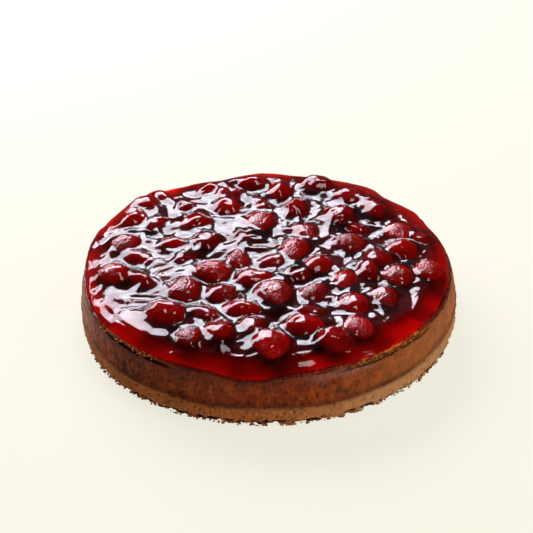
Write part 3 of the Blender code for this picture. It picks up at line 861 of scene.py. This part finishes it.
# Only the crowns that stand out of the jelly have its shine, as fruit inside it has no surface of its own
for group in BERRY_GROUPS:
    fruit_mesh = bpy.data.objects[group].data
    corners = np.empty(len(fruit_mesh.vertices) * 3)
    fruit_mesh.vertices.foreach_get("co", corners)
    corners = corners.reshape(-1, 3)
    clear_by = corners[:, 2] - jelly_top(corners[:, 0], corners[:, 1])
    shine = fruit_mesh.attributes.new("wetness", "FLOAT", "POINT")
    shine.data.foreach_set("value", smooth_step(clear_by, -0.35 * MM, -0.05 * MM).astype(np.float32))

cells = JELLY_CELLS + 1
index = np.arange(cells * cells).reshape(cells, cells)
quads = np.stack([index[:-1, :-1], index[1:, :-1], index[1:, 1:], index[:-1, 1:]], axis=-1).reshape(-1, 4)
edge_loop = np.concatenate([index[:-1, 0], index[-1, :-1], index[:0:-1, -1], index[0, :0:-1]])
rim_angle = np.arctan2(top_points[edge_loop, 1], top_points[edge_loop, 0])
rim_radius = jelly_rim(rim_angle)
rim_run = run_over(rim_angle)
rim_bays = wander(rim_angle, "rim bays", (11, 19, 28)) + wander(rim_angle, "rim ripples", (41, 57))
rim_lobes = wander(rim_angle, "rim lobes", (7, 13, 22, 31))
edge_lift = top_points[edge_loop, 2] - (JELLY_LEVEL - 0.5 * MM)


def rim_row(inset_mm, drop_mm, wave=0.0):
    """A row down the jelly's rounded rim, lower where it has run over."""
    sag = RUN_DROP * rim_run * smooth_step(drop_mm, 0.0, 4.0)
    inset = (inset_mm + 0.25 * rim_bays * smooth_step(drop_mm, 0.0, 2.0)) * MM
    return rim_radius - inset, JELLY_LEVEL - (drop_mm + wave * rim_lobes) * MM - sag


# Down the rounded rim, whose first five rows ease into the top's own height, and in again under the jelly
rim_rows = (
    rim_row(2.5, 1.0), rim_row(1.7, 1.5), rim_row(1.0, 2.1), rim_row(0.5, 2.8), rim_row(0.15, 3.5),
    rim_row(-0.3, 4.2), rim_row(-0.8, 4.9, 0.3), rim_row(-0.9, 5.6, 0.6), rim_row(-0.3, 6.1, 0.8),
    rim_row(1.2, 6.2, 0.5),
)
wall_rows = [(row_radius, row_height + edge_lift * max(0.0, 1.0 - step / 5.0))
             for step, (row_radius, row_height) in enumerate(rim_rows)]
for under_radius in (rim_radius - 3.0 * MM, rim_radius - 6.0 * MM, rim_radius - 11.0 * MM):
    wall_rows.append((under_radius, bed_height(under_radius, rim_angle) - JELLY_SINK))
wall_rows.append((BED_LEVEL_RADIUS - 4.0 * MM, BED_HEIGHT - JELLY_SINK))
wall_points = np.array([round_points(*wall_row, rim_angle) for wall_row in wall_rows])
wall_index = len(top_points) + np.arange(len(wall_rows) * len(edge_loop)).reshape(len(wall_rows), -1)
wall_index = np.concatenate([edge_loop[None, :], wall_index])
beside = np.roll(wall_index, -1, axis=1)
wall_quads = np.stack([wall_index[1:], beside[1:], beside[:-1], wall_index[:-1]], axis=-1).reshape(-1, 4)
jelly_faces = quads.tolist() + wall_quads.tolist() + [wall_index[-1, ::-1].tolist()]
jelly_points = np.concatenate([top_points, wall_points.reshape(-1, 3)])

# Set fruit jelly: clear as glass, with a little more shine than water. Red light passes through it and the
# rest is lost within a few millimetres, so it is orange-red where thin and nearly black-red deep. Light on
# its way to the fruit and the bed goes straight through the skin, so they are lit under it.
JELLY_ABSORPTION = 800.0
jelly_set, tree, shader = start_material("set_strawberry_jelly", roughness=0.015, ior=1.37,
                                         transmission_weight=1.0)
shader.inputs["Base Color"].default_value = paint("FFF2F0")
path = add_node(tree, "ShaderNodeLightPath")
lit_through = add_node(tree, "ShaderNodeMath", {"operation": "MAXIMUM"},
                       {0: path.outputs["Is Shadow Ray"], 1: path.outputs["Is Diffuse Ray"]})
let_through = add_node(tree, "ShaderNodeBsdfTransparent", {"Color": paint("FFF2F0")})
jelly_surface = add_node(tree, "ShaderNodeMixShader", {}, {0: lit_through.outputs[0], 1: shader.outputs[0],
                                                         2: let_through.outputs[0]})
tree.links.new(jelly_surface.outputs[0], tree.nodes["Material Output"].inputs["Surface"])
tint = add_node(tree, "ShaderNodeVolumeAbsorption", {"Color": paint("F86018"), "Density": JELLY_ABSORPTION})
tree.links.new(tint.outputs[0], tree.nodes["Material Output"].inputs["Volume"])

jelly = finished_piece("strawberry_jelly_set", jelly_points, jelly_faces, jelly_set, flat_faces=1)
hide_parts("strawberry_jelly")


# Jelly smears
# Smears and drops of the same jelly that ran down the browned side when the collar came off. They lie on the
# skin, thinner than a fingernail, and all of them are one piece.
SMEAR_THICKNESS_MM = 0.55
# Each smear's angle in degrees, height, half width and half height in mm
SMEARS = (
    (-77.0, 36.2, 2.6, 0.8), (-74.2, 36.0, 3.4, 0.9), (-71.5, 27.0, 2.4, 1.2), (-70.0, 29.4, 1.3, 0.8),
    (-73.0, 28.6, 1.0, 0.6), (-59.5, 23.5, 1.8, 1.2), (-60.8, 25.4, 1.2, 0.7), (-57.8, 26.2, 1.0, 0.9),
    (-50.0, 29.5, 1.6, 0.7), (-84.0, 31.0, 1.2, 0.7), (-79.5, 30.2, 0.9, 0.5), (-66.0, 31.6, 1.2, 0.5),
)
draw = random.Random("smears")
smear_lumps = []
for angle_deg, level, half_width, half_height in SMEARS:
    angle = math.radians(angle_deg)
    column = int(round(angle % math.tau / math.tau * COLUMNS)) % COLUMNS
    skin = cake_points[:SIDE_ROWS, column]
    row = int(np.argmin(np.abs(skin[:, 2] - level * MM)))
    from_middle = float(np.hypot(skin[row, 0], skin[row, 1]))
    shape = uneven_lump(draw, 0.5, 1.6) * np.array((SMEAR_THICKNESS_MM, half_width, half_height)) * MM
    place = np.array((math.cos(angle) * from_middle, math.sin(angle) * from_middle, level * MM))
    smear_lumps.append((shape @ level_axes(angle) + place, ball_faces))
smears = finished_piece("jelly_smears", *joined(smear_lumps), jelly_set)
